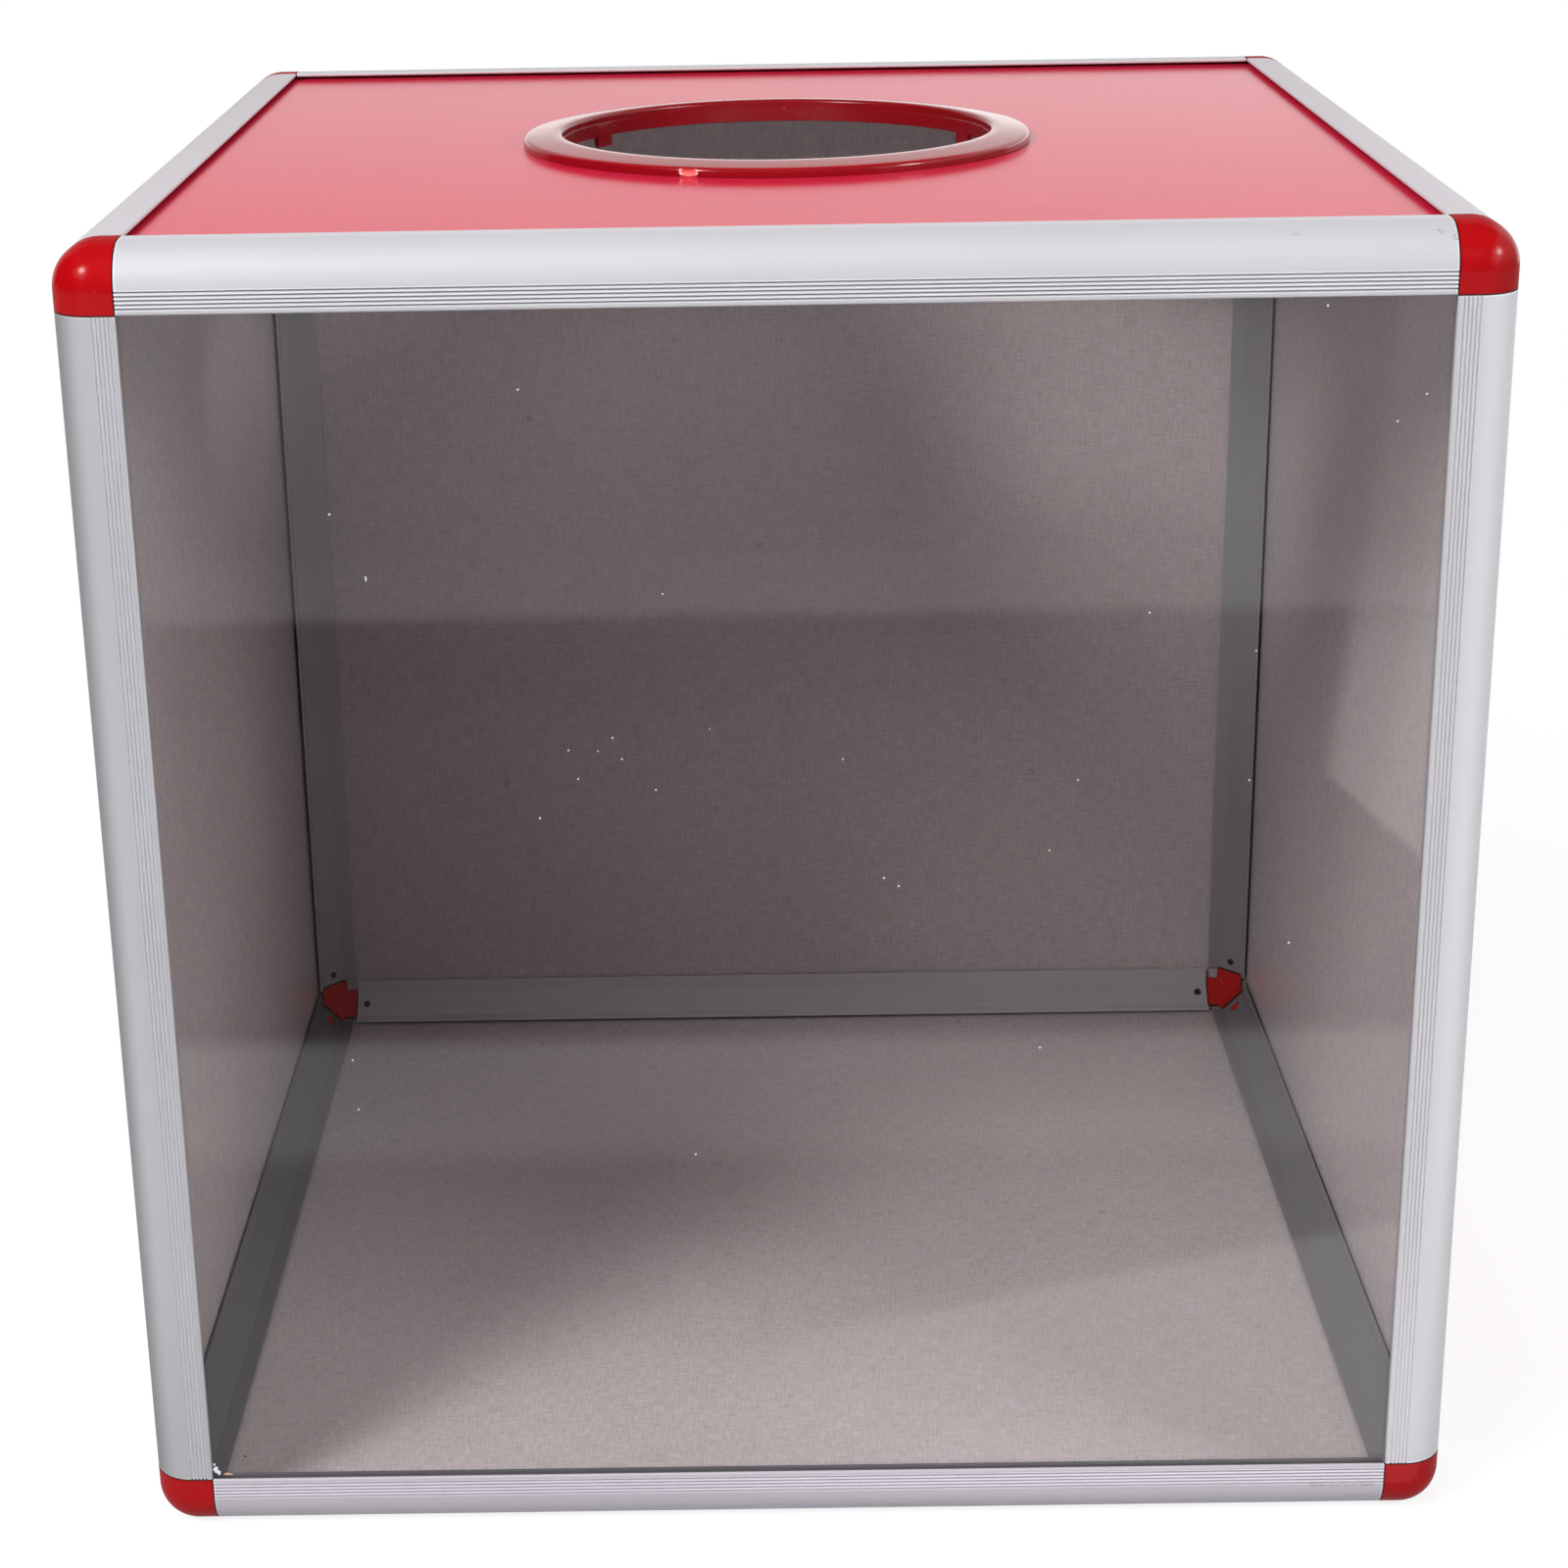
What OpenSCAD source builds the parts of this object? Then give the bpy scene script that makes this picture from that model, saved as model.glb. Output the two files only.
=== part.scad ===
// Raffle box: a cube frame of extruded rails with rounded corner connectors,
// thin boards and a clear window held in the rails' slots, and a hand-hole ring.
// The origin is the centre of the base. +Z is up, and the window faces -Y.

/* [Box] */
// Outer width, left to right
box_w = 300; // [200:1:500]
// Outer depth, front to back
box_d = 300; // [200:1:500]
// Outer height of the frame
box_h = 300; // [120:1:500]

/* [Rail section] */
// Width of a rail's two outer faces, and size of a corner block
rail_w = 14; // [13.5:0.1:17]
// Radius of the rounded outer edge
edge_r = 9.5; // [8:0.1:11]
// Thickness of the outer lips
lip_t = 1; // [0.8:0.05:1.3]
// Width of the slots that hold the boards
slot_w = 2.3; // [2:0.05:2.8]
// Distance from the outer face to the floor of the other face's slot
core_w = 8; // [7.6:0.1:8.4]
// Thickness of the inner lips
inner_lip_t = 0.7; // [0.5:0.05:0.9]
// How much shorter the inner lips are than the outer ones
inner_lip_back = 0.4; // [0:0.05:0.8]
// Flat side of the core before the 45 degree inner wall starts
core_flat = 9.6; // [9:0.1:10]
// Wall of the hollow core
core_wall = 1.1; // [0.9:0.05:1.3]
// Number of decorative grooves on the front or side face
groove_count = 5; // [1:1:5]
// Distance between the middles of two grooves
groove_pitch = 0.85; // [0.7:0.01:0.9]
// Width of one groove
groove_w = 0.42; // [0.3:0.01:0.5]
// Depth of one groove
groove_depth = 0.35; // [0.2:0.01:0.5]
// Plain strip between the lip's edge and the first groove
groove_edge = 1.1; // [0.9:0.05:1.3]

/* [Corner connectors] */
// Gap between a rail's sawn end and the corner block
butt_gap = 0.1; // [0:0.05:0.3]
// How far the block's inner faces stand proud of the rails' inner walls
core_proud = 0.7; // [0.2:0.05:1]
// Length of an arm inside a rail
arm_len = 18; // [14:0.5:30]
// Clearance between an arm and the hollow core
arm_fit = 0.15; // [0.05:0.01:0.3]
// Depth of the relief between two ribs of an arm
rib_depth = 0.4; // [0.2:0.05:0.6]
// Length of one rib along the arm
rib_w = 1.6; // [1:0.1:2]
// Distance between two ribs
rib_pitch = 4; // [3:0.1:6]
// Distance from the block to the snap button on a depth arm
button_at = 4.5; // [3.6:0.1:6]
// Diameter of the snap button
button_d = 3.2; // [2:0.1:3.6]
// Clearance round the snap button in the rail's hole
button_gap = 0.25; // [0.1:0.05:0.4]

/* [Boards and window] */
// Thickness of the five boards
board_t = 1.5; // [1.2:0.05:1.8]
// Thickness of the clear window
window_t = 1.5; // [1.2:0.05:1.8]
// Gap between a board's edge and the slot's floor
board_gap = 0.5; // [0.2:0.05:0.8]

/* [Hand-hole ring] */
// Diameter of the opening
ring_bore_d = 104.6; // [80:0.2:120]
// Width of the flange, from the opening to the rim
ring_flange_w = 9.7; // [8:0.1:14]
// Height of the rim above the board
ring_rim_h = 2.3; // [2:0.05:3]
// How much higher the flange is at the opening than at the rim
ring_crown = 0.7; // [0:0.05:1]
// Radius of the rim's top edge
ring_rim_r = 1.2; // [0.6:0.05:1.5]
// Radius of the mouth's edge
ring_mouth_r = 1; // [0.5:0.05:1.2]
// Thickness of the flange and the rim
ring_skin = 1.4; // [1:0.05:1.8]
// Wall of the collar that goes through the board
collar_wall = 1.6; // [1.2:0.05:2]
// Clearance between the collar and the board's hole
collar_gap = 0.4; // [0.2:0.05:0.8]
// How far the collar reaches below the board
collar_below = 1; // [0.5:0.1:2]
// Width of a snap hook
hook_w = 5.8; // [3:0.1:8]
// How far a hook reaches below the board
hook_below = 3.6; // [2.5:0.1:6]
// How far a hook's catch reaches out from the collar
hook_catch = 1.4; // [0.8:0.05:1.6]
// Number of snap hooks, evenly spaced
hook_count = 3; // [2:1:4]
// Direction of the first snap hook, from +X
hook_angle = 26; // [0:1:119]
// Gap between the catch and the board
hook_gap = 0.1; // [0.05:0.05:0.3]
// Width of the half-moon gate mark on the rim
gate_w = 5; // [3:0.1:6]
// Depth of the gate mark
gate_depth = 1; // [0.4:0.1:1.2]
// Height of the gate mark above the board
gate_h = 1.5; // [1:0.1:1.6]
// Direction of the gate mark, from +X
gate_angle = 250; // [0:1:359]

/* [Screws] */
// Diameter of a screw's head
screw_head_d = 2.2; // [1.6:0.1:3]
// Height of a screw's head
screw_head_h = 0.6; // [0.4:0.05:1]
// Diameter of a screw's shank
screw_d = 1.2; // [0.8:0.05:1.5]
// Length of a screw's shank
screw_len = 3.6; // [3:0.1:3.8]
// Distance from a rail's end to its screw
screw_at = 3; // [2:0.1:6]
// Clearance round a screw's shank
screw_fit = 0.05; // [0.02:0.01:0.1]

/* [Hidden] */

$fn = 96;

// Cuts run past what they cut by this much
overrun = 1;
// The diagonal of a unit square, for sizes measured square to the inner wall
diagonal_share = sqrt(2);

// Rail section, seen from its rounded edge at (0, 0)
slot_in = lip_t + slot_w;
rail_in = slot_in + inner_lip_t;
inner_lip_w = rail_w - inner_lip_back;
wall_sum = rail_in + core_flat;
groove_first = rail_w - groove_edge - groove_w / 2;
rail_start = rail_w + butt_gap;
block_sum = wall_sum + core_proud * diagonal_share;

// Connector arms
arm_inset = core_wall + arm_fit;
arm_end = rail_w + arm_len;
rib_count = floor((arm_len - rib_w) / rib_pitch) + 1;
button_r = button_d / 2;

// Boards
board_edge = core_w + board_gap;
top_board_z = box_h - slot_in;
board_top_z = top_board_z + board_t;

// Ring
bore_r = ring_bore_d / 2;
collar_r = bore_r + collar_wall;
ring_r = bore_r + ring_flange_w;
rim_z = board_top_z + ring_rim_h;
mouth_z = rim_z + ring_crown;
recess_z = rim_z - ring_skin;
collar_z = top_board_z - collar_below;
hook_z = top_board_z - hook_below;
catch_z = top_board_z - hook_gap;
catch_flat = hook_catch / 2;
gate_r = (gate_w * gate_w / 4 + gate_depth * gate_depth) / (2 * gate_depth);

aluminium = [0.80, 0.80, 0.82];
red_plastic = [0.76, 0.09, 0.12];
red_board = [0.85, 0.32, 0.38];
grey_board = [0.52, 0.47, 0.46];
clear_plastic = [0.80, 0.85, 0.88, 0.35];
black_steel = [0.12, 0.12, 0.13];

// The whole outer outline of the section, with its rounded edge
module outer_outline() {
  translate([edge_r, edge_r]) circle(edge_r);
  translate([edge_r, 0]) square([rail_w - edge_r, rail_w]);
  translate([0, edge_r]) square([rail_w, rail_w - edge_r]);
}

// The closed core between the rounded edge and the 45 degree inner wall
module core_outline() {
  polygon([
    [0, 0], [core_w, 0], [core_w, slot_in], [core_flat, rail_in],
    [rail_in, core_flat], [slot_in, core_w], [0, core_w]
  ]);
}

// The core's outline moved in by some wall thickness
module core_inside(inset) {
  side = core_w - inset;
  corner = wall_sum - inset * diagonal_share - side;
  intersection() {
    translate([edge_r, edge_r]) circle(edge_r - inset);
    polygon([[0, 0], [side, 0], [side, corner], [corner, side], [0, side]]);
  }
}

// One lip with a round tip, along X from the core
module lip(reach, t) {
  square([reach - t / 2, t]);
  translate([reach - t / 2, t / 2]) circle(t / 2);
}

// The two lips beside one slot
module slot_lips() {
  lip(rail_w, lip_t);
  translate([core_w - core_wall, slot_in])
    lip(inner_lip_w - core_w + core_wall, inner_lip_t);
}

module rail_section() {
  difference() {
    intersection() {
      outer_outline();
      union() {
        core_outline();
        slot_lips();
        mirror([1, -1]) slot_lips();
      }
    }
    core_inside(core_wall);
    for (i = [0 : groove_count - 1])
      translate([groove_first - i * groove_pitch - groove_w / 2, -overrun])
        square([groove_w, groove_depth + overrun]);
  }
}

// Local frame on a rail's inner wall: +Z points into the box
module on_inner_wall(along) {
  translate([wall_sum / 2, wall_sum / 2, along])
    rotate([0, 90, 45])
      children();
}

// A rail along Z with a hole in the inner wall near each end
module rail(length, hole_d, hole_at) {
  difference() {
    linear_extrude(length) rail_section();
    for (z = [hole_at, length - hole_at])
      on_inner_wall(z)
        translate([0, 0, -core_wall - overrun])
          cylinder(h = core_wall + 2 * overrun, d = hole_d);
  }
}

// The three directions that leave a corner, each turned from Z
module along_x() { rotate(a = 120, v = [1, 1, 1]) children(); }
module along_y() { rotate(a = 240, v = [1, 1, 1]) children(); }

module flip(on, direction) {
  if (on) mirror(direction) children();
  else children();
}

// Puts what is drawn at the bottom front left corner, from (0, 0, 0), in its place
module at_corner(right = false, back = false, top = false) {
  translate([0, 0, box_h / 2])
    flip(right, [1, 0, 0]) flip(back, [0, 1, 0]) flip(top, [0, 0, 1])
      translate([-box_w / 2, -box_d / 2, -box_h / 2])
        children();
}

module cross_rail() {
  color(aluminium)
    translate([box_w - rail_start, 0, 0])
      rotate([0, -90, 0])
        rail(box_w - 2 * rail_start, screw_d + 2 * screw_fit, screw_at);
}

module depth_rail() {
  color(aluminium)
    translate([0, rail_start, 0])
      along_y()
        rail(box_d - 2 * rail_start, button_d + 2 * button_gap, button_at);
}

module post() {
  color(aluminium)
    translate([0, 0, rail_start])
      rail(box_h - 2 * rail_start, screw_d + 2 * screw_fit, screw_at);
}

// A cube with its three outer edges and its outer corner rounded
module rounded_block() {
  flat = rail_w - edge_r;
  intersection() {
    cube(rail_w);
    union() {
      translate([edge_r, edge_r, edge_r]) sphere(edge_r);
      for (turn = [0, 120, 240])
        rotate(a = turn, v = [1, 1, 1]) {
          translate([edge_r, edge_r, edge_r]) cylinder(h = flat, r = edge_r);
          translate([edge_r, edge_r, 0]) cube([flat, flat, rail_w]);
        }
    }
  }
}

// The room inside the corner, between the three inner walls
module corner_room() {
  reach = rail_w + overrun;
  intersection_for(turn = [0, 120, 240])
    rotate(a = turn, v = [1, 1, 1])
      translate([0, 0, rail_in])
        linear_extrude(reach)
          polygon([
            [rail_in, reach], [rail_in, block_sum - rail_in],
            [block_sum - rail_in, rail_in], [reach, rail_in], [reach, reach]
          ]);
}

// Room for the corner of a board whose outer face looks along -Z
module board_pocket() {
  reach = rail_w - core_w + overrun;
  translate([core_w, core_w, lip_t])
    cube([reach, reach, slot_w + inner_lip_t]);
}

// A ribbed arm along Z that fills a rail's hollow core
module arm() {
  translate([0, 0, core_w])
    linear_extrude(arm_end - core_w)
      core_inside(arm_inset + rib_depth);
  for (i = [0 : rib_count - 1])
    translate([0, 0, rail_w + i * rib_pitch])
      linear_extrude(rib_w)
        core_inside(arm_inset);
}

module screwed_arm() {
  difference() {
    arm();
    on_inner_wall(rail_start + screw_at)
      translate([0, 0, -screw_len - screw_fit])
        cylinder(h = screw_len + overrun, r = screw_d / 2 + screw_fit);
  }
}

module buttoned_arm() {
  arm();
  on_inner_wall(rail_start + button_at)
    translate([0, 0, -core_wall - arm_fit - rib_depth - button_r])
      cylinder(h = core_wall + arm_fit + rib_depth + button_r, r = button_r);
}

module connector() {
  color(red_plastic) {
    difference() {
      rounded_block();
      corner_room();
      for (turn = [0, 120, 240])
        rotate(a = turn, v = [1, 1, 1]) board_pocket();
    }
    screwed_arm();
    along_x() screwed_arm();
    along_y() buttoned_arm();
  }
}

// A flat sheet whose outer face lies at z = 0 of the corner's frame
module sheet(size_x, size_y, t) {
  translate([board_edge, board_edge, 0])
    cube([size_x - 2 * board_edge, size_y - 2 * board_edge, t]);
}

module top_board() {
  color(red_board)
    difference() {
      translate([-box_w / 2, -box_d / 2, top_board_z]) sheet(box_w, box_d, board_t);
      translate([0, 0, top_board_z - overrun])
        cylinder(h = board_t + 2 * overrun, r = collar_r + collar_gap);
    }
}

module bottom_board() {
  color(red_board)
    translate([-box_w / 2, -box_d / 2, lip_t]) sheet(box_w, box_d, board_t);
}

module side_board() {
  color(grey_board)
    translate([lip_t, 0, 0])
      along_x() sheet(box_d, box_h, board_t);
}

module back_board() {
  color(grey_board)
    at_corner(back = true)
      translate([0, lip_t, 0])
        along_y() sheet(box_h, box_w, board_t);
}

module front_window() {
  color(clear_plastic)
    at_corner()
      translate([0, lip_t, 0])
        along_y() sheet(box_h, box_w, window_t);
}

// Half section of the ring, without its hooks
module ring_profile() {
  difference() {
    polygon([
      [bore_r, collar_z], [collar_r, collar_z], [collar_r, board_top_z],
      [ring_r, board_top_z], [ring_r, rim_z - ring_rim_r],
      [ring_r - ring_rim_r, rim_z - ring_rim_r],
      [ring_r - ring_rim_r, rim_z], [bore_r + ring_mouth_r, mouth_z],
      [bore_r + ring_mouth_r, mouth_z - ring_mouth_r], [bore_r, mouth_z - ring_mouth_r]
    ]);
    translate([collar_r, board_top_z - overrun])
      square([ring_flange_w - collar_wall - ring_skin, recess_z - board_top_z + overrun]);
  }
  intersection() {
    translate([ring_r - ring_rim_r, rim_z - ring_rim_r]) circle(ring_rim_r);
    translate([ring_r - ring_rim_r, rim_z - ring_rim_r]) square(ring_rim_r);
  }
  intersection() {
    translate([bore_r + ring_mouth_r, mouth_z - ring_mouth_r]) circle(ring_mouth_r);
    translate([bore_r, mouth_z - ring_mouth_r]) square(ring_mouth_r);
  }
}

// Half section of a snap hook, with its catch under the board
module hook_profile() {
  polygon([
    [bore_r, hook_z], [collar_r, hook_z], [collar_r + hook_catch, catch_z - catch_flat],
    [collar_r + hook_catch, catch_z], [collar_r, catch_z], [bore_r, catch_z]
  ]);
}

module hand_hole_ring() {
  color(red_plastic)
    difference() {
      union() {
        rotate_extrude() ring_profile();
        intersection() {
          rotate_extrude() hook_profile();
          for (i = [0 : hook_count - 1])
            rotate([0, 0, hook_angle + i * 360 / hook_count])
              translate([0, -hook_w / 2, hook_z])
                cube([ring_r, hook_w, hook_below]);
        }
      }
      rotate([0, 0, gate_angle])
        translate([ring_r + gate_r - gate_depth, 0, board_top_z])
          cylinder(h = gate_h, r = gate_r);
    }
}

// A pan head screw whose head rests on z = 0 and whose shank points down
module screw() {
  cylinder(h = screw_head_h, d = screw_head_d);
  translate([0, 0, -screw_len]) cylinder(h = screw_len, d = screw_d);
}

module corner_screws() {
  color(black_steel)
    for (right = [false, true], back = [false, true], top = [false, true])
      at_corner(right, back, top) {
        on_inner_wall(rail_start + screw_at) screw();
        along_x() on_inner_wall(rail_start + screw_at) screw();
      }
}

at_corner(top = true) cross_rail();  // rail_top_front
at_corner(back = true, top = true) cross_rail();  // rail_top_back
at_corner(top = true) depth_rail();  // rail_top_left
at_corner(right = true, top = true) depth_rail();  // rail_top_right
at_corner() cross_rail();  // rail_bottom_front
at_corner(back = true) cross_rail();  // rail_bottom_back
at_corner() depth_rail();  // rail_bottom_left
at_corner(right = true) depth_rail();  // rail_bottom_right
at_corner() post();  // post_front_left
at_corner(right = true) post();  // post_front_right
at_corner(back = true) post();  // post_back_left
at_corner(right = true, back = true) post();  // post_back_right
at_corner(top = true) connector();  // corner_top_front_left
at_corner(right = true, top = true) connector();  // corner_top_front_right
at_corner(back = true, top = true) connector();  // corner_top_back_left
at_corner(right = true, back = true, top = true) connector();  // corner_top_back_right
at_corner() connector();  // corner_bottom_front_left
at_corner(right = true) connector();  // corner_bottom_front_right
at_corner(back = true) connector();  // corner_bottom_back_left
at_corner(right = true, back = true) connector();  // corner_bottom_back_right
top_board();
bottom_board();
at_corner() side_board();  // left_board
at_corner(right = true) side_board();  // right_board
back_board();
front_window();
hand_hole_ring();
corner_screws();
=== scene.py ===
import math
import bmesh
import bpy
from mathutils import Matrix, Vector


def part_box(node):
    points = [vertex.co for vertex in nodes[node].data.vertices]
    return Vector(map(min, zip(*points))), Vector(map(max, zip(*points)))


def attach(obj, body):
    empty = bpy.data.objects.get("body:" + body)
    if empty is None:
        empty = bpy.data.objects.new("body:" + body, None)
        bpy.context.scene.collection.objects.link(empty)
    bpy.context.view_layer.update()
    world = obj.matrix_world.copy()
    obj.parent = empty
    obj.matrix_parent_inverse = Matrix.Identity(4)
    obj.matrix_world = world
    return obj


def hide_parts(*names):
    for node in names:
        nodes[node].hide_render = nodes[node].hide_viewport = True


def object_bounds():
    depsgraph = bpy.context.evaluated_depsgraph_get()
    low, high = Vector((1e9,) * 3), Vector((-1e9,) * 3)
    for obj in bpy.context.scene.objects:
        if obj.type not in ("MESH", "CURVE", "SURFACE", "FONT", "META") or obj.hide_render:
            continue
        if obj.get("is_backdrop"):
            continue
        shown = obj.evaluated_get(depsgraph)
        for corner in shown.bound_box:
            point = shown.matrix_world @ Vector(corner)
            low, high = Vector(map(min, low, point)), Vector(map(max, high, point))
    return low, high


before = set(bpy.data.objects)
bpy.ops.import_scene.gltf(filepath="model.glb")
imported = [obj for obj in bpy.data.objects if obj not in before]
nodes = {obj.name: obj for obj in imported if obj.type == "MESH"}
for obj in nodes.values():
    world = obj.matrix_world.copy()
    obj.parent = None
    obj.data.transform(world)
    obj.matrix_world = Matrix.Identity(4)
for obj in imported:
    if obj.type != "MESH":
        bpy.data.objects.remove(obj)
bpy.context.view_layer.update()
scene = bpy.context.scene
mm = 0.001
print("frame loaded")


# One shader value; sums written on it add their Math nodes
class Wire:
    def __init__(self, finish, socket):
        self.finish, self.socket = finish, socket

    def __add__(self, other):
        return self.finish.maths("ADD", self, other)

    def __sub__(self, other):
        return self.finish.maths("SUBTRACT", self, other)

    def __rsub__(self, other):
        return self.finish.maths("SUBTRACT", other, self)

    def __mul__(self, other):
        return self.finish.maths("MULTIPLY", self, other)

    def __truediv__(self, other):
        return self.finish.maths("DIVIDE", self, other)

    def __gt__(self, other):
        return self.finish.maths("GREATER_THAN", self, other)

    def __lt__(self, other):
        return self.finish.maths("LESS_THAN", self, other)

    def __abs__(self):
        return self.finish.maths("ABSOLUTE", self)

    __radd__ = __add__
    __rmul__ = __mul__

    def out(self, name):
        return Wire(self.finish, self.socket.node.outputs[name])


# A material and the ways to add nodes to it
class Finish:
    def __init__(self, name, owner=None):
        self.owner = owner or bpy.data.materials.new(name)
        self.owner.use_nodes = True
        self.tree = self.owner.node_tree
        self.tree.nodes.clear()

    # a node's type, its settings, its sockets' values or links, and the output wanted
    def add(self, kind, settings=None, sockets=None, out=0):
        node = self.tree.nodes.new(kind)
        for key, value in (settings or {}).items():
            if key == "stops":
                ramp = node.color_ramp.elements
                while len(ramp) < len(value):
                    ramp.new(0.5)
                for stop, (place, colour) in zip(ramp, value):
                    stop.position, stop.color = place, colour
            else:
                setattr(node, key, value)
        for key, value in (sockets or {}).items():
            if isinstance(value, Wire):
                self.tree.links.new(value.socket, node.inputs[key])
            else:
                node.inputs[key].default_value = value
        return Wire(self, node.outputs[out]) if len(node.outputs) else None

    def maths(self, operation, a, b=0.0):
        return self.add("ShaderNodeMath", {"operation": operation}, {0: a, 1: b})

    def least(self, a, b):
        return self.maths("MINIMUM", a, b)

    def most(self, a, b):
        return self.maths("MAXIMUM", a, b)

    # 0 below low, 1 above high, smooth between
    def rise(self, value, low, high):
        return self.add("ShaderNodeMapRange", {"interpolation_type": "SMOOTHSTEP"},
                        {"Value": value, "From Min": low, "From Max": high})

    # 1 between low and high, fading out over soft on both sides
    def band(self, value, low, high, soft):
        return self.rise(value, low - soft, low) * (1 - self.rise(value, high, high + soft))

    def place(self):
        return self.add("ShaderNodeTexCoord", out="Object")

    # 0 on the nearest of some points, in metres
    def nearest(self, vector, points):
        least = None
        for point in points:
            away = self.add("ShaderNodeVectorMath", {"operation": "DISTANCE"},
                            {0: vector, 1: point}, "Value")
            least = self.least(least, away) if least else away
        return least

    # the X output, which also gives the others, and the Y and Z outputs
    def split(self, vector):
        parts = self.add("ShaderNodeSeparateXYZ", sockets={0: vector})
        return parts, parts.out("Y"), parts.out("Z")

    def noise(self, vector, scales, detail=2.0, roughness=0.5, shift=(0, 0, 0)):
        stretched = self.add("ShaderNodeMapping", None,
                             {"Vector": vector, "Scale": scales, "Location": shift})
        return self.add("ShaderNodeTexNoise", None,
                        {"Vector": stretched, "Scale": 1.0, "Detail": detail,
                         "Roughness": roughness})

    def blend(self, factor, a, b, way="MIX"):
        return self.add("ShaderNodeMix", {"data_type": "RGBA", "blend_type": way},
                        {0: factor, 6: a, 7: b}, 2)

    # a colour made lighter or darker by a number
    def tone(self, colour, value):
        grey = self.add("ShaderNodeCombineXYZ", None, {0: value, 1: value, 2: value})
        return self.blend(1.0, colour, grey, "MULTIPLY")

    def bump(self, height, distance, strength=1.0, normal=None):
        sockets = {"Height": height, "Distance": distance, "Strength": strength}
        if normal:
            sockets["Normal"] = normal
        return self.add("ShaderNodeBump", None, sockets)

    def coated(self, sockets):
        return self.add("ShaderNodeBsdfPrincipled", None, sockets)

    # the same colour and relief without any gloss
    def unglossed(self, shade, relief):
        return self.coated({"Base Color": shade, "Roughness": 0.8, "Specular IOR Level": 0.0,
                            "Normal": relief})

    def glow(self, colour, strength):
        return self.add("ShaderNodeEmission", None, {"Color": colour, "Strength": strength})

    def mixed(self, factor, a, b):
        return self.add("ShaderNodeMixShader", None, {0: factor, 1: a, 2: b})

    def end(self, surface):
        kind = "World" if isinstance(self.owner, bpy.types.World) else "Material"
        self.add("ShaderNodeOutput" + kind, None, {"Surface": surface})
        return self.owner


def paint(piece, *materials):
    piece.data.materials.clear()
    for material in materials:
        piece.data.materials.append(material)


# A colour in linear values
def tint(red, green, blue):
    return (red, green, blue, 1.0)


# one piece picked and active
def pick(piece):
    bpy.ops.object.select_all(action="DESELECT")
    piece.select_set(True)
    bpy.context.view_layer.objects.active = piece
    return piece


# names what an operator has just made
def fresh(name):
    piece = bpy.context.object
    piece.name = piece.data.name = name
    return piece


# in edit mode, what satisfies the test is selected, by "verts", "edges" or "faces"
def choose(piece, kind, test):
    mode = {"verts": "VERT", "edges": "EDGE", "faces": "FACE"}[kind]
    bpy.ops.mesh.select_mode(type=mode)
    bpy.ops.mesh.select_all(action="DESELECT")
    shape = bmesh.from_edit_mesh(piece.data)
    for part in getattr(shape, kind):
        if test(part):
            part.select_set(True)
    shape.select_flush_mode()
    bmesh.update_edit_mesh(piece.data)


def edit(piece):
    pick(piece)
    bpy.ops.object.mode_set(mode="EDIT")


def leaveEdit():
    bpy.ops.object.mode_set(mode="OBJECT")


# doubles merged, faces turned outwards, smooth up to an angle
def tidyUp(piece, angle=35, merge=2e-6):
    edit(piece)
    bpy.ops.mesh.select_all(action="SELECT")
    bpy.ops.mesh.remove_doubles(threshold=merge)
    bpy.ops.mesh.normals_make_consistent(inside=False)
    leaveEdit()
    pick(piece)
    bpy.ops.object.shade_smooth_by_angle(angle=math.radians(angle))


# the place of an object goes into its mesh
def settle(piece):
    pick(piece)
    bpy.ops.object.transform_apply(location=True, rotation=True, scale=True)


# a box between two corners, in mm
def addBox(name, low, high):
    bpy.ops.object.select_all(action="DESELECT")
    middle = [(a + b) / 2 * mm for a, b in zip(low, high)]
    bpy.ops.mesh.primitive_cube_add(size=1, location=middle,
                                    scale=[(b - a) * mm for a, b in zip(low, high)])
    piece = fresh(name)
    settle(piece)
    return piece


# a profile of (radius, height) points in mm, walked round the upright axis and closed on itself
def turned(name, profile, sides):
    bpy.ops.object.select_all(action="DESELECT")
    radius, height = profile[0]
    bpy.ops.mesh.primitive_circle_add(vertices=sides, radius=radius * mm, fill_type="NOTHING",
                                      location=(0, 0, height * mm))
    piece = fresh(name)
    settle(piece)
    edit(piece)
    bpy.ops.mesh.select_mode(type="VERT")
    bpy.ops.mesh.select_all(action="SELECT")
    for (r0, z0), (r1, z1) in zip(profile, profile[1:] + profile[:1]):
        bpy.ops.mesh.extrude_region_move(TRANSFORM_OT_translate={"value": (0, 0, (z1 - z0) * mm)})
        bpy.ops.transform.resize(value=(r1 / r0, r1 / r0, 1), center_override=(0, 0, z1 * mm))
    leaveEdit()
    tidyUp(piece)
    return piece


# points along part of a circle, from one angle to another in degrees
def arc(centre, radius, start, stop, steps):
    turns = [math.radians(start + (stop - start) * i / steps) for i in range(steps + 1)]
    return [(centre[0] + radius * math.cos(turn), centre[1] + radius * math.sin(turn))
            for turn in turns]


# tool is cut from, or added to, piece and then deleted
def carve(piece, tool, operation="DIFFERENCE"):
    pick(piece)
    step = piece.modifiers.new("carve", "BOOLEAN")
    step.operation, step.object, step.solver = operation, tool, "EXACT"
    bpy.ops.object.modifier_apply(modifier=step.name)
    bpy.data.objects.remove(tool)


def bevelEdges(piece, width, segments=2, angle=30):
    pick(piece)
    step = piece.modifiers.new("bevel", "BEVEL")
    step.width, step.segments, step.limit_method = width, segments, "ANGLE"
    step.angle_limit = math.radians(angle)
    bpy.ops.object.modifier_apply(modifier=step.name)


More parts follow.
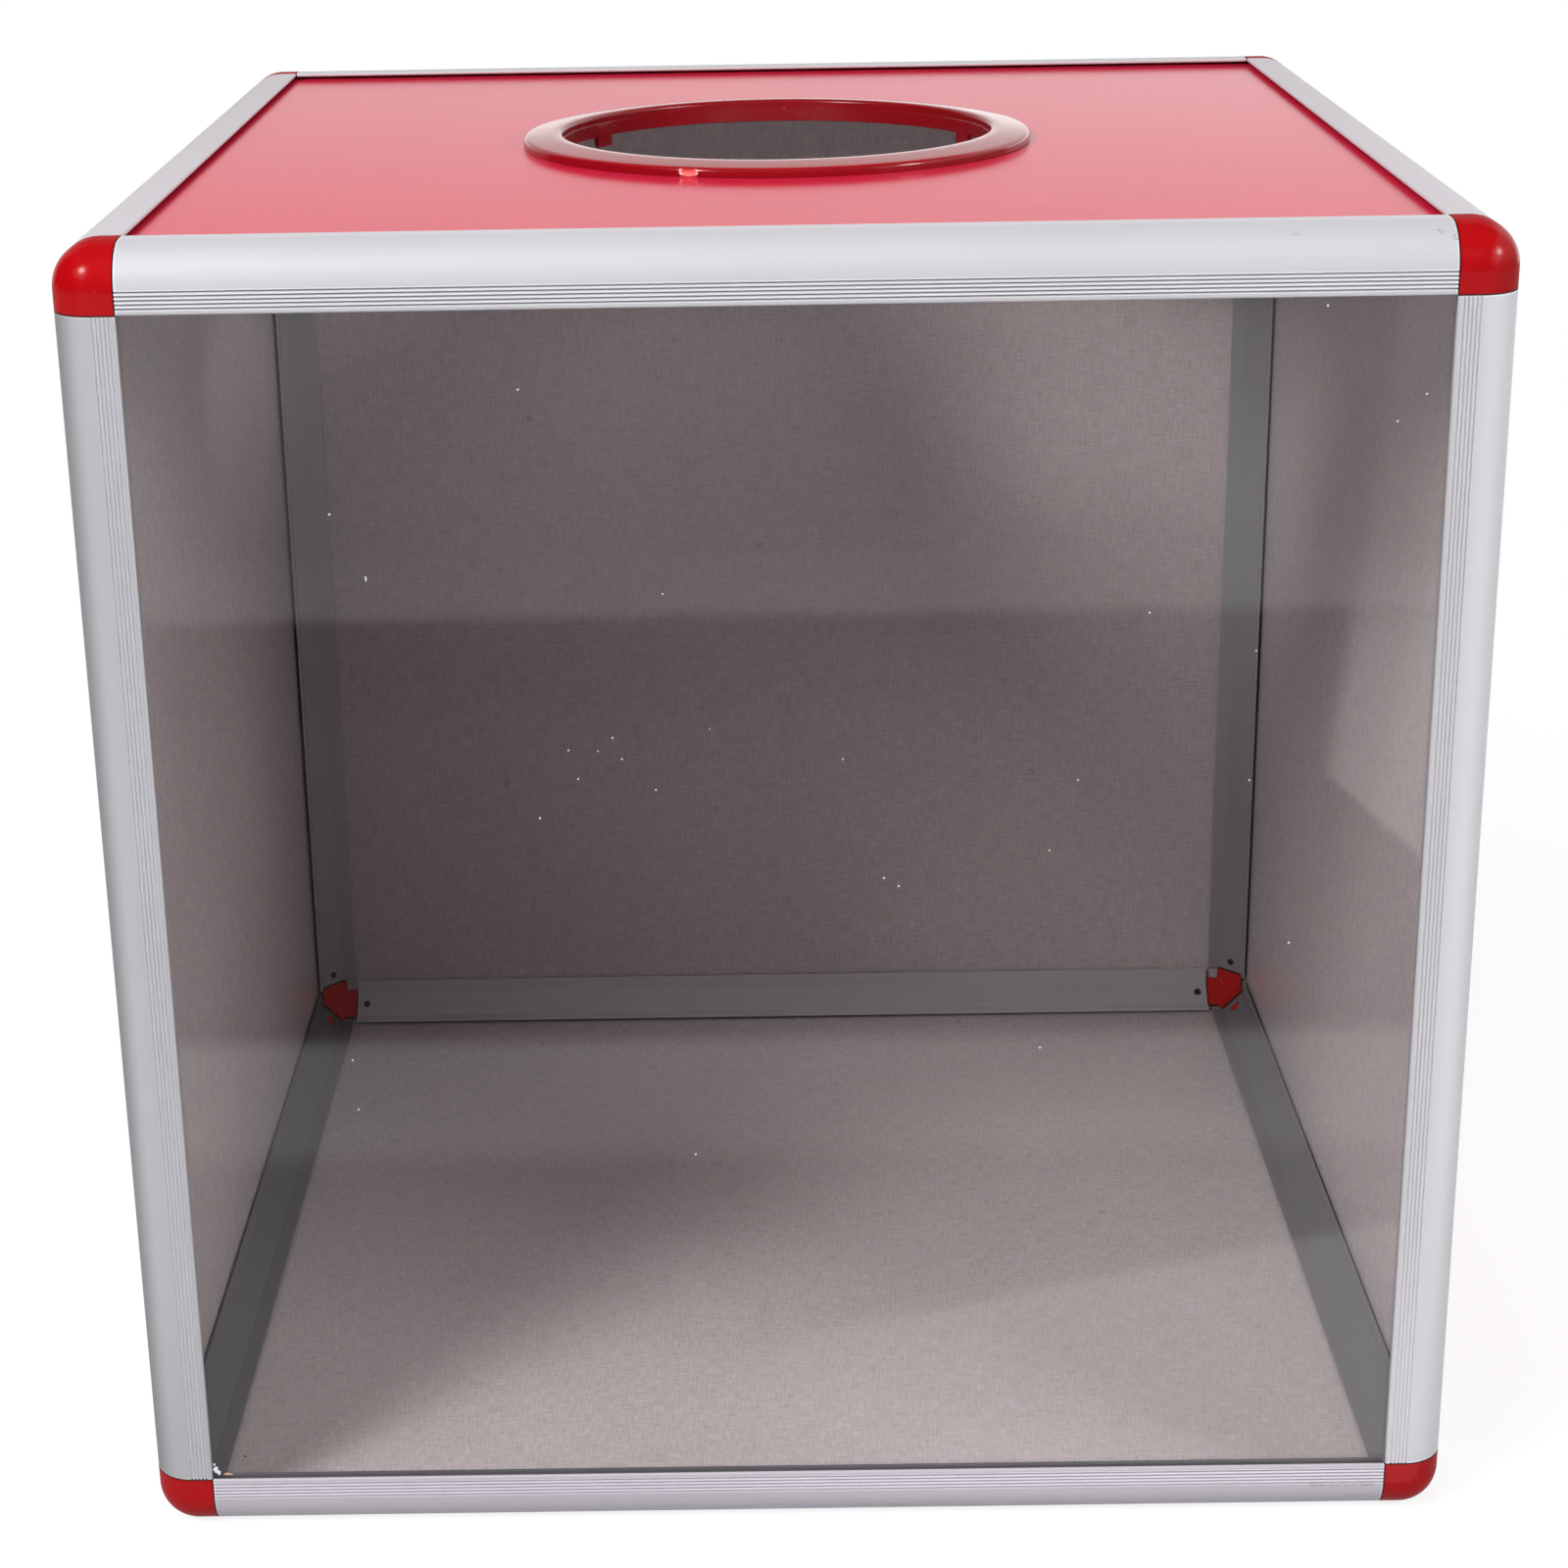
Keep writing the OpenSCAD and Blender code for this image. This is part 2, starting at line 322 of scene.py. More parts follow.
# a copy with its own mesh, placed by a matrix
def copied(piece, name, matrix):
    twin = piece.copy()
    twin.data = piece.data.copy()
    twin.name = twin.data.name = name
    scene.collection.objects.link(twin)
    twin.data.transform(matrix)
    return twin


def joined(pieces, name):
    bpy.ops.object.select_all(action="DESELECT")
    for piece in pieces:
        piece.select_set(True)
    bpy.context.view_layer.objects.active = pieces[0]
    bpy.ops.object.join()
    return fresh(name)


# Anodised aluminium rails. Edge distances are from the box's outer planes
rail = {
    "colour": tint(0.68, 0.675, 0.705),
    "dirtColour": tint(0.13, 0.115, 0.10),
    "metallic": 0.40,
    "roughness": 0.64, "cloudRough": 0.10, "lineRough": 0.08,
    # fine die lines, wider bands along the rail and a cloudy change of tone
    "lineLength": 240 * mm, "lineWidth": 0.30 * mm, "lineDepth": 0.003 * mm, "lineTone": 0.035,
    "bandLines": 6, "bandTone": 0.04,
    "cloudScale": 22, "cloudTone": 0.05,
    "halfSize": 150 * mm,
    # sawn ends: a bright burr and a dark seam
    "sawnEnd": 135.9 * mm, "seam": 0.13 * mm, "seamTone": 0.8, "burr": 0.36 * mm, "burrTone": 0.22,
    # grooves of the front face, whose ridges are wide and round; the ridges get a painted
    # highlight and the grooves painted shade
    "firstGroove": 12.69 * mm, "groovePitch": 0.85 * mm, "grooves": 5, "grooveFace": 0.6 * mm,
    "ridgeRise": 0.06 * mm, "ridgeWide": 1.4, "paintedRidgeHighlight": 0.14, "paintedGrooveShade": 0.50,
    # painted shade in the slots and on the sides that look into the box, and painted light on the
    # lips
    "slotFrom": 1.03 * mm, "slotTo": 3.32 * mm, "slotStart": 8 * mm, "paintedSlotShade": 0.14,
    "insideFrom": 3.28 * mm, "paintedInsideShade": 0.66, "lipFace": 4.05 * mm, "paintedLipLight": 1.12,
    # a painted highlight on the rear part of a top face
    "topFace": 0.3 * mm, "brimFrom": 9.2 * mm, "paintedBrimHighlight": 0.0,
    # painted shade darkening a rounded side towards its outer edge
    "flankReach": 6.0 * mm, "paintedFlankShade": 0.0,
    # specks all over, and stretches of dirt as (from, to, lowest, highest) in mm, along and up
    "speckScale": 900, "speckTone": 0.10,
    "dirt": (), "fleckLength": 1.3 * mm, "dirtTone": 0.6, "dirtMost": 0.75,
}

# What differs from rail to rail. Each rail's colour and tones are set lighter or darker as painted
# light and shade for how that rail is lit. The axes: the one that a rail runs along, the one over
# which its grooves lie and the one that its grooved face looks along
railLooks = {
    "crossRail": {"axes": (0, 2, 1), "paintedInsideShade": 0.88},
    "frontTopRail": {"axes": (0, 2, 1), "colour": tint(0.645, 0.635, 0.67), "paintedBrimHighlight": 0.10,
                     "paintedRidgeHighlight": 0.40,
                     "dirt": ((102.7, 103.6, 297.9, 298.4), (132.2, 132.7, 298.1, 298.5),
                              (135.1, 135.5, 296.8, 297.6))},
    "frontBottomRail": {"axes": (0, 2, 1), "colour": tint(0.605, 0.57, 0.63), "paintedRidgeHighlight": 0.56,
                        "paintedGrooveShade": 0.40, "paintedSlotShade": 0.36, "slotTo": 4.03 * mm,
                        "dirt": ((119, 133, 8.4, 11.0),)},
    "depthRail": {"axes": (1, 2, 0), "colour": tint(0.70, 0.665, 0.70), "paintedInsideShade": 0.36},
    "leftDepthRail": {"axes": (1, 2, 0), "colour": tint(0.70, 0.665, 0.70), "paintedInsideShade": 0.26},
    "uprightRail": {"axes": (2, 0, 1), "colour": tint(0.73, 0.725, 0.755), "metallic": 0.60,
                    "paintedRidgeHighlight": 0.05, "paintedGrooveShade": -0.20, "paintedInsideShade": 0.60},
    "leftUprightRail": {"axes": (2, 0, 1), "colour": tint(0.78, 0.775, 0.81), "metallic": 0.78,
                        "paintedRidgeHighlight": 0.08, "paintedGrooveShade": -0.26, "paintedInsideShade": 0.60,
                        "paintedFlankShade": 0.36},
}


def anodised(name):
    look = {**rail, **railLooks[name]}
    lengthwise, across, outward = look["axes"]
    f = Finish(name)
    place = f.place()
    parts = f.split(place)
    centred = [part - look["halfSize"] if i == 2 else part for i, part in enumerate(parts)]
    along = centred[lengthwise]
    edgeA = look["halfSize"] - abs(centred[across])
    edgeB = look["halfSize"] - abs(centred[outward])
    thin = [1 / look["lineWidth"]] * 3
    thin[lengthwise] = 1 / look["lineLength"]
    lines = f.noise(place, thin, 3.0, 0.6)
    bands = f.noise(place, [scale / look["bandLines"] for scale in thin], 2.0, 0.5, (3, 5, 7))
    cloud = f.noise(place, [look["cloudScale"]] * 3, 3.0, 0.55)
    tone = 1 + (lines - 0.5) * look["lineTone"] + (bands - 0.5) * look["bandTone"]
    tone = tone + (cloud - 0.5) * look["cloudTone"]
    # wide rounded ridges with a painted highlight between narrow grooves with painted shade
    fromFirst = (look["firstGroove"] - edgeA) / look["groovePitch"]
    grooved = f.band(fromFirst, -0.5, look["grooves"] - 0.5, 0.05) * (edgeB < look["grooveFace"])
    wave = f.maths("COSINE", fromFirst * (2 * math.pi))
    crest = 1 - f.maths("POWER", (1 + wave) * 0.5, look["ridgeWide"])
    contrast = look["paintedRidgeHighlight"] + look["paintedGrooveShade"]
    tone = tone * (1 + grooved * (crest * contrast - look["paintedGrooveShade"]))
    # painted shade darkens the sides that look into the box, and darker still the slots; the lips
    # get some painted light back
    nearest = f.least(edgeA, edgeB)
    inside = f.rise(nearest, look["insideFrom"], look["insideFrom"] + 0.1 * mm)
    lip = inside * (nearest < look["lipFace"])
    slot = 0.0
    for edge, other in ((edgeA, edgeB), (edgeB, edgeA)):
        gap = f.band(edge, look["slotFrom"], look["slotTo"], 0.02 * mm)
        slot = gap * (other > look["slotStart"]) + slot
    tone = tone * (1 - inside * (1 - look["paintedInsideShade"])) * (1 - slot * (1 - look["paintedSlotShade"]))
    tone = tone * (1 + lip * (look["paintedLipLight"] - 1))
    # painted highlight on the rear part of a top face
    brim = f.rise(edgeB, look["brimFrom"], look["brimFrom"] + 0.2 * mm) * (edgeA < look["topFace"])
    tone = tone * (1 + brim * look["paintedBrimHighlight"])
    # painted shade darkening a rounded side towards its outer edge
    tone = tone * (1 - (1 - f.rise(edgeA, 0, look["flankReach"])) * look["paintedFlankShade"])
    fromEnd = look["sawnEnd"] - abs(along)
    burr = 1 - f.rise(fromEnd, look["seam"] + look["burr"] * 0.6, look["seam"] + look["burr"])
    seam = 1 - f.rise(fromEnd, look["seam"] * 0.6, look["seam"])
    tone = tone * (1 + burr * look["burrTone"]) * (1 - seam * look["seamTone"])
    shade = f.tone(look["colour"], tone)
    specks = f.noise(place, [look["speckScale"]] * 3, 2.0, 0.7, (1, 2, 3))
    soiled = f.rise(specks, 0.70, 0.76) * look["speckTone"]
    thin[lengthwise] = 1 / look["fleckLength"]
    flecks = f.rise(f.noise(place, thin, 2.0, 0.7, (4, 4, 4)), 0.50, 0.60)
    for start, stop, lowest, highest in look["dirt"]:
        zone = f.band(along, start * mm, stop * mm, 0.7 * mm)
        zone = zone * f.band(parts[2], lowest * mm, highest * mm, 0.2 * mm)
        soiled = soiled + zone * flecks * (1 - grooved * crest) * look["dirtTone"]
    shade = f.blend(f.least(soiled, look["dirtMost"]), shade, look["dirtColour"])
    rough = look["roughness"] + (cloud - 0.5) * look["cloudRough"]
    rough = rough + (lines - 0.5) * look["lineRough"]
    relief = f.bump(crest * grooved, look["ridgeRise"], normal=f.bump(lines, look["lineDepth"]))
    return f.end(f.coated({"Base Color": shade, "Metallic": look["metallic"], "Roughness": rough,
                           "Normal": relief}))


railFinish = {name: anodised(name) for name in railLooks}
for name, node in nodes.items():
    if name in ("rail_top_front", "rail_bottom_front"):
        paint(node, railFinish["frontTopRail" if "top" in name else "frontBottomRail"])
    elif name.startswith("rail_") and name.endswith(("left", "right")):
        paint(node, railFinish["leftDepthRail" if name.endswith("left") else "depthRail"])
    elif name.startswith("rail_"):
        paint(node, railFinish["crossRail"])
    elif name.startswith("post_"):
        paint(node, railFinish["leftUprightRail" if name == "post_front_left" else "uprightRail"])
print("aluminium done")

# Moulded red plastic: the connectors, whose visible edges meet the rails' ends
plastic = {
    "colour": tint(0.37, 0.002, 0.004),
    # the fine grain takes part of the gloss, and more of it on the upper side
    "roughness": 0.20, "gloss": 0.48, "matt": 0.5, "topMatt": 0.4, "topFrom": 147.6 * mm,
    "mattMost": 0.9,
    "grain": 0.5 * mm, "grainDepth": 0.004 * mm,
    "cloudScale": 70, "cloudTone": 0.10, "cloudRough": 0.06,
    "scuffs": 0.05, "scuffRough": 0.12, "scuffColour": tint(0.75, 0.35, 0.36),
    "capEdge": 136.0 * mm, "seam": 0.14 * mm, "seamTone": 0.8,
    # the part that shows inside the box, in a lighter red: painted light
    "paintedLitCoreColour": tint(0.56, 0.0003, 0.0006), "coreFrom": 4.1 * mm, "coreMatt": 0.4,
}


def moulded(name):
    f = Finish(name)
    place = f.place()
    x, y, z = f.split(place)
    height = z - rail["halfSize"]
    grain = f.noise(place, [1 / plastic["grain"]] * 3, 2.0, 0.5)
    cloud = f.noise(place, [plastic["cloudScale"]] * 3, 2.0, 0.5)
    scuff = f.rise(f.noise(place, (420, 60, 420), 3.0, 0.7), 0.62, 0.72)
    innermost = f.least(f.least(abs(x), abs(y)), abs(height))
    capEdge = plastic["capEdge"]
    seam = f.band(innermost, capEdge, capEdge + plastic["seam"], 0.05 * mm)
    outermost = f.most(f.most(abs(x), abs(y)), abs(height))
    coreFrom = plastic["coreFrom"]
    core = f.rise(rail["halfSize"] - outermost, coreFrom, coreFrom + 0.2 * mm)
    # the part inside the box takes a lighter red as painted light
    shade = f.blend(core, plastic["colour"], plastic["paintedLitCoreColour"])
    clouded = 1 + (cloud - 0.5) * plastic["cloudTone"]
    shade = f.tone(shade, clouded * (1 - seam * plastic["seamTone"]))
    shade = f.blend(scuff * plastic["scuffs"], shade, plastic["scuffColour"])
    rough = plastic["roughness"] + scuff * plastic["scuffRough"]
    rough = rough + (cloud - 0.5) * plastic["cloudRough"]
    relief = f.bump(grain, plastic["grainDepth"])
    glossy = f.coated({"Base Color": shade, "Roughness": rough, "IOR": 1.5,
                       "Specular IOR Level": plastic["gloss"], "Normal": relief})
    upper = f.rise(height, plastic["topFrom"], rail["halfSize"])
    share = plastic["matt"] + upper * plastic["topMatt"] + core * plastic["coreMatt"]
    return f.end(f.mixed(f.least(share, plastic["mattMost"]), glossy, f.unglossed(shade, relief)))


redPlastic = moulded("redPlastic")
for name, node in nodes.items():
    if name.startswith(("corner_top", "corner_bottom")):
        paint(node, redPlastic)

# The ring round the hand hole: sizes in mm, heights above the table
ring = {
    "sides": 240,
    "bore": 52.3, "collar": 53.9, "edge": 62.0, "skin": 1.4, "chamfer": 0.2, "footChamfer": 0.15,
    "collarFoot": 295.7, "boardTop": 298.2, "recess": 299.1, "rim": 300.5, "mouth": 301.2,
    "rimRound": 1.2, "mouthRound": 1.0, "roundSteps": 8, "mouldStep": 0.12, "stepAt": 299.0,
    # the flange's gentle rise from the rim to the mouth, as (radius, height)
    "crown": ((58.9, 300.74), (57.0, 300.95), (55.2, 301.12)),
    "hooks": 3, "firstHook": 26, "hookWidth": 5.8, "hookFoot": 293.1, "hookProud": 0.12,
    "hookSunk": 0.06, "hookBevel": 0.12,
    "catchTop": 296.6, "catchOut": 1.4, "catchFlat": 0.7, "catchSlope": 0.5,
    # the scar of the torn-off gate: angle, height, half width, depth and half height
    "gateAngle": 250.4, "gateAt": 299.25, "gateHalf": 2.35, "gateDepth": 0.75, "gateRise": 0.85,
    "colour": tint(0.30, 0.003, 0.008), "tornColour": tint(0.86, 0.15, 0.15),
    "tornEdge": tint(0.95, 0.75, 0.74), "scuffColour": tint(0.70, 0.30, 0.31),
    "roughness": 0.13, "scuffRough": 0.15, "cloudRough": 0.05, "tornRough": 0.2,
    "shredDepth": 0.15 * mm,
    # painted shade darkens the bore's wall and the rim's side against the flange
    "paintedWallShade": 0.70, "wallRough": 0.10, "wallTo": (52.7, 53.2),
    "paintedRimShade": 0.76, "rimFrom": (61.4, 61.8), "rimTop": (299.7, 300.3),
}


def makeRing():
    r = ring
    wall = r["bore"] + r["mouldStep"]
    soft, skin = r["chamfer"], r["edge"] - r["skin"]
    profile = [(r["bore"] + soft, r["collarFoot"]), (r["collar"] - soft, r["collarFoot"]),
               (r["collar"], r["collarFoot"] + soft), (r["collar"], r["recess"] - soft),
               (r["collar"] + soft, r["recess"]), (skin - soft, r["recess"]),
               (skin, r["recess"] - soft), (skin, r["boardTop"] + soft / 2),
               (skin + soft / 2, r["boardTop"]), (r["edge"] - r["footChamfer"], r["boardTop"]),
               (r["edge"], r["boardTop"] + r["footChamfer"])]
    profile += arc((r["edge"] - r["rimRound"], r["rim"] - r["rimRound"]), r["rimRound"],
                   0, 84, r["roundSteps"])
    profile += r["crown"]
    profile += arc((wall + r["mouthRound"], r["mouth"] - r["mouthRound"]), r["mouthRound"],
                   98, 180, r["roundSteps"])
    profile += [(wall, r["stepAt"] + 0.1), (r["bore"], r["stepAt"]),
                (r["bore"], r["collarFoot"] + soft)]
    piece = turned("handHoleRing", profile, r["sides"])
    # the scar is the shape of a flat ball, sunk in the rim
    bpy.ops.object.select_all(action="DESELECT")
    size = [r[key] * mm for key in ("gateDepth", "gateHalf", "gateRise")]
    bpy.ops.mesh.primitive_uv_sphere_add(segments=40, ring_count=20, radius=1,
                                         location=(0, 0, 0), scale=size)
    tool = fresh("gateTool")
    settle(tool)
    tool.data.transform(Matrix.Rotation(math.radians(r["gateAngle"]), 4, "Z")
                        @ Matrix.Translation((r["edge"] * mm, 0, r["gateAt"] * mm)))
    carve(piece, tool)
    # a snap hook, modelled once at angle 0
    half = r["hookWidth"] / 2
    hook = addBox("snapHook", (r["bore"] - r["hookProud"], -half, r["hookFoot"]),
                  (r["collar"] - r["hookSunk"], half, r["stepAt"] - 0.05))
    edit(hook)
    catchFrom, catchTo = (r["catchTop"] - r["catchFlat"]) * mm, r["catchTop"] * mm
    for cut in (catchFrom, catchTo):
        bpy.ops.mesh.select_all(action="SELECT")
        bpy.ops.mesh.bisect(plane_co=(0, 0, cut), plane_no=(0, 0, 1))
    choose(hook, "faces", lambda face: face.normal.x > 0.9 and
           catchFrom < face.calc_center_median().z < catchTo)
    bpy.ops.mesh.extrude_region_move(TRANSFORM_OT_translate={"value": (r["catchOut"] * mm, 0, 0)})
    # the foot slopes out to the catch
    choose(hook, "verts", lambda vertex: vertex.co.x > (r["collar"] - 0.5) * mm and
           vertex.co.z < (r["hookFoot"] + 0.1) * mm)
    bpy.ops.transform.translate(value=(-r["catchSlope"] * mm, 0, 0))
    leaveEdit()
    bevelEdges(hook, r["hookBevel"] * mm)
    for i in range(r["hooks"]):
        turn = math.radians(r["firstHook"] + i * 360 / r["hooks"])
        carve(piece, copied(hook, "snapHook%d" % i, Matrix.Rotation(turn, 4, "Z")), "UNION")
    bpy.data.objects.remove(hook)
    tidyUp(piece)
    return piece


def ringPlastic():
    f = Finish("ringPlastic")
    place = f.place()
    cloud = f.noise(place, [plastic["cloudScale"]] * 3, 2.0, 0.5)
    grain = f.noise(place, [1 / plastic["grain"]] * 3, 2.0, 0.5)
    scuff = f.rise(f.noise(place, (260, 260, 900), 3.0, 0.7), 0.63, 0.74)
    turn = math.radians(ring["gateAngle"])
    out = (ring["edge"] - 0.3) * mm
    scar = (out * math.cos(turn), out * math.sin(turn), ring["gateAt"] * mm)
    away = f.nearest(place, [scar])
    x, y, z = f.split(place)
    flank = f.maths("SQRT", x * x + y * y)
    # torn plastic is where the rim's surface lies deeper than its own round face
    skin = f.rise(flank, (ring["edge"] - 0.06) * mm, (ring["edge"] - 0.02) * mm)
    torn = (1 - f.rise(away, 2.3 * mm, 2.4 * mm)) * (1 - skin)
    torn = torn * (1 - f.rise(z, 299.9 * mm, 300.1 * mm))
    shred = f.noise(place, (1600, 1600, 700), 3.0, 0.7)
    edge = f.band(away, 1.8 * mm, 2.3 * mm, 0.15 * mm)
    wall = 1 - f.rise(flank, *[radius * mm for radius in ring["wallTo"]])
    rim = f.rise(flank, *[radius * mm for radius in ring["rimFrom"]])
    rim = rim * (1 - f.rise(z, *[height * mm for height in ring["rimTop"]]))
    tone = 1 + (cloud - 0.5) * plastic["cloudTone"]
    # painted shade on the bore's wall and the rim's side
    tone = tone * (1 - wall * (1 - ring["paintedWallShade"])) * (1 - rim * (1 - ring["paintedRimShade"]))
    shade = f.tone(ring["colour"], tone)
    shade = f.blend(scuff * plastic["scuffs"], shade, ring["scuffColour"])
    shade = f.blend(torn * f.rise(shred, 0.25, 0.45), shade, ring["tornColour"])
    shade = f.blend(torn * edge * 0.6, shade, ring["tornEdge"])
    rough = ring["roughness"] + scuff * ring["scuffRough"] + (cloud - 0.5) * ring["cloudRough"]
    rough = rough + torn * ring["tornRough"] + wall * ring["wallRough"]
    relief = f.bump(shred * torn, ring["shredDepth"], normal=f.bump(grain, plastic["grainDepth"]))
    return f.end(f.coated({"Base Color": shade, "Roughness": rough, "IOR": 1.5, "Normal": relief}))


handHoleRing = makeRing()
paint(handHoleRing, ringPlastic())
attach(handHoleRing, "root")
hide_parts("hand_hole_ring")
print("plastic done")

# Boards with a linen-like facing, red outside and warm grey inside
board = {
    "outside": tint(0.62, 0.019, 0.055),
    "inside": tint(0.600, 0.518, 0.523),
    "cutEdge": tint(0.42, 0.27, 0.15),
    # the red face's embossing takes part of its gloss
    "roughness": 0.25, "outsideRoughness": 0.14, "outsideMatt": 0.42, "weaveRough": 0.12,
    "threadWidth": 0.52 * mm, "threadLength": 4.5 * mm, "threadDepth": 0.026 * mm,
    "threadTone": 1.05, "outsideThreadTone": 0.62,
    "cloudScale": 24, "cloudTone": 0.10, "mottleScale": 150, "mottleTone": 0.08,
    "holeRound": 54.6 * mm,
    # soft dark spots, in mm
    "spotSize": 2.0 * mm, "spotTone": 0.17,
    "spots": {
        "back_board": ((78.9, 147.5, 81.0), (20.9, 147.5, 222.0), (-74.5, 147.5, 195.6),
                       (-5.2, 147.5, 155.2), (-84.5, 147.5, 148.7), (-91.3, 147.5, 164.6),
                       (-85.2, 147.5, 79.7), (2.0, 147.5, 39.0)),
        "bottom_board": ((86.9, 0.3, 2.5), (-23.5, 98.3, 2.5), (-40.1, 101.0, 2.5),
                         (24.6, 1.0, 2.5), (120.1, -64.4, 2.5)),
        "left_board": ((-147.5, 39.0, 30.8),),
    },
}


# axis is the board's thin direction, middle its mid-plane, and side is 1 or -1, the way its red
# face looks
def facedBoard(name, axis, middle, side):
    f = Finish("faced_" + name)
    place = f.place()
    parts = f.split(place)
    depth = parts[axis]
    red = depth > middle if side > 0 else depth < middle
    across, along = [i for i in range(3) if i != axis]
    threads = []
    for run, cross, shift in ((across, along, (0, 0, 0)), (along, across, (9, 9, 9))):
        scales = [1.0] * 3
        scales[axis] = 40.0
        scales[run] = 1 / board["threadLength"]
        scales[cross] = 1 / board["threadWidth"]
        threads.append(f.noise(place, scales, 1.5, 0.6, shift))
    weave = (threads[0] + threads[1]) * 0.5
    cloud = f.noise(place, [board["cloudScale"]] * 3, 3.0, 0.55, (2, 8, 5))
    mottle = f.noise(place, [board["mottleScale"]] * 3, 2.0, 0.6, (6, 1, 3))
    thread = board["threadTone"] + red * (board["outsideThreadTone"] - board["threadTone"])
    tone = 1 + (weave - 0.5) * thread + (cloud - 0.5) * board["cloudTone"]
    tone = tone + (mottle - 0.5) * board["mottleTone"]
    if name in board["spots"]:
        away = f.nearest(place, [[c * mm for c in spot] for spot in board["spots"][name]])
        tone = tone - (1 - f.rise(away, 0.2 * mm, board["spotSize"])) * board["spotTone"]
    shade = f.tone(f.blend(red, board["inside"], board["outside"]), tone)
    if name == "top_board":
        # the raw edge of the round hole
        x, y, z = parts
        radius = f.maths("SQRT", x * x + y * y)
        cut = 1 - f.rise(radius, board["holeRound"], board["holeRound"] + 0.1 * mm)
        shade = f.blend(cut, shade, board["cutEdge"])
    rough = board["roughness"] + red * (board["outsideRoughness"] - board["roughness"])
    rough = rough + (weave - 0.5) * board["weaveRough"]
    relief = f.bump(weave, board["threadDepth"])
    glossy = f.coated({"Base Color": shade, "Roughness": rough, "IOR": 1.5, "Normal": relief})
    return f.end(f.mixed(red * board["outsideMatt"], glossy, f.unglossed(shade, relief)))


boardPlanes = {"top_board": (2, 1), "bottom_board": (2, -1), "left_board": (0, -1),
               "right_board": (0, 1), "back_board": (1, 1)}
for name, (axis, side) in boardPlanes.items():
    low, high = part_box(name)
    paint(nodes[name], facedBoard(name, axis, (low[axis] + high[axis]) / 2, side))
print("boards done")

# The clear window, with a little haze, specks and scratches
window = {
    "tint": tint(0.965, 0.97, 0.97),
    "straightOn": 0.039,
    "dust": tint(0.75, 0.73, 0.72),
    "haze": 0.002, "speckCover": 0.10, "scratchCover": 0.02,
}


def clearSheet():
    f = Finish("clearSheet")
    place = f.place()
    clear = f.add("ShaderNodeBsdfTransparent", None, {"Color": window["tint"]})
    shine = f.add("ShaderNodeBsdfGlossy", None, {"Color": tint(1, 1, 1), "Roughness": 0.0})
    facing = f.add("ShaderNodeLayerWeight", None, {"Blend": 0.5}, "Facing")
    mirror = f.maths("POWER", facing, 5.0) * (1 - window["straightOn"]) + window["straightOn"]
    glass = f.mixed(mirror, clear, shine)
    specks = f.rise(f.noise(place, (700, 30, 700), 2.0, 0.7), 0.72, 0.78)
    patches = f.rise(f.noise(place, (35, 35, 35), 2.0, 0.6), 0.45, 0.65)
    scratches = f.rise(f.noise(place, (30, 30, 1500), 2.0, 0.5, (2, 0, 1)), 0.70, 0.76)
    cover = window["haze"] + specks * window["speckCover"] * patches
    cover = cover + scratches * patches * window["scratchCover"]
    dust = f.add("ShaderNodeBsdfDiffuse", None, {"Color": window["dust"]})
    return f.end(f.mixed(cover, glass, dust))


paint(nodes["front_window"], clearSheet())

# Dust flecks and crumbs on the window's face: x, z, half width and half height in mm
dust = {
    "face": -149.0,
    "sunk": 0.02, "flat": 0.4, "uneven": 0.28,
    "roughness": 0.8, "grainScale": 2600, "grainTone": 0.4, "grainDepth": 0.05 * mm,
    "flecks": ((-88.3, 229.8, 0.22, 0.55), (-55.0, 269.4, 0.22, 0.22), (-95.1, 243.8, 0.30, 0.26),
               (-47.3, 191.3, 0.22, 0.22), (-37.8, 194.0, 0.2, 0.2), (-41.0, 191.0, 0.2, 0.2),
               (-35.9, 189.1, 0.2, 0.2), (-45.4, 184.8, 0.22, 0.2), (-28.9, 182.1, 0.2, 0.2),
               (-53.9, 176.0, 0.22, 0.3), (11.2, 188.4, 0.22, 0.22), (-26.4, 225.6, 0.2, 0.2),
               (-17.1, 195.6, 0.2, 0.2), (19.9, 161.1, 0.22, 0.22), (23.1, 159.2, 0.24, 0.2),
               (55.6, 166.9, 0.22, 0.22), (61.4, 182.9, 0.22, 0.22), (75.6, 219.9, 0.22, 0.22),
               (98.3, 211.2, 0.22, 0.22), (98.0, 182.3, 0.22, 0.22), (131.0, 265.6, 0.22, 0.22),
               (125.3, 260.0, 0.22, 0.22), (108.1, 144.6, 0.24, 0.24), (54.3, 120.5, 0.22, 0.22),
               (-22.1, 95.6, 0.22, 0.22), (-96.8, 107.8, 0.22, 0.22), (-97.4, 119.8, 0.22, 0.22),
               (109.9, 284.1, 0.22, 0.3)),
    "crumbs": ((-135.2, 16.2, 0.62, 0.85, "chip"), (-134.5, 15.4, 0.5, 0.55, "chip"),
               (-135.5, 17.5, 0.3, 0.42, "chip"), (-132.5, 15.0, 0.8, 0.34, "tan"),
               (-131.7, 14.9, 0.4, 0.26, "tan"), (-128.2, 19.7, 0.42, 0.26, "rust")),
    "colours": {"fleck": tint(0.60, 0.60, 0.60), "chip": tint(0.72, 0.72, 0.76),
                "tan": tint(0.46, 0.30, 0.22), "rust": tint(0.16, 0.035, 0.03)},
    "seed": 11,
}


def crumbly(name, colour):
    f = Finish(name)
    grain = f.noise(f.place(), [dust["grainScale"]] * 3, 2.0, 0.6)
    return f.end(f.coated({"Base Color": f.tone(colour, 0.8 + grain * dust["grainTone"]),
                           "Roughness": dust["roughness"],
                           "Normal": f.bump(grain, dust["grainDepth"])}))


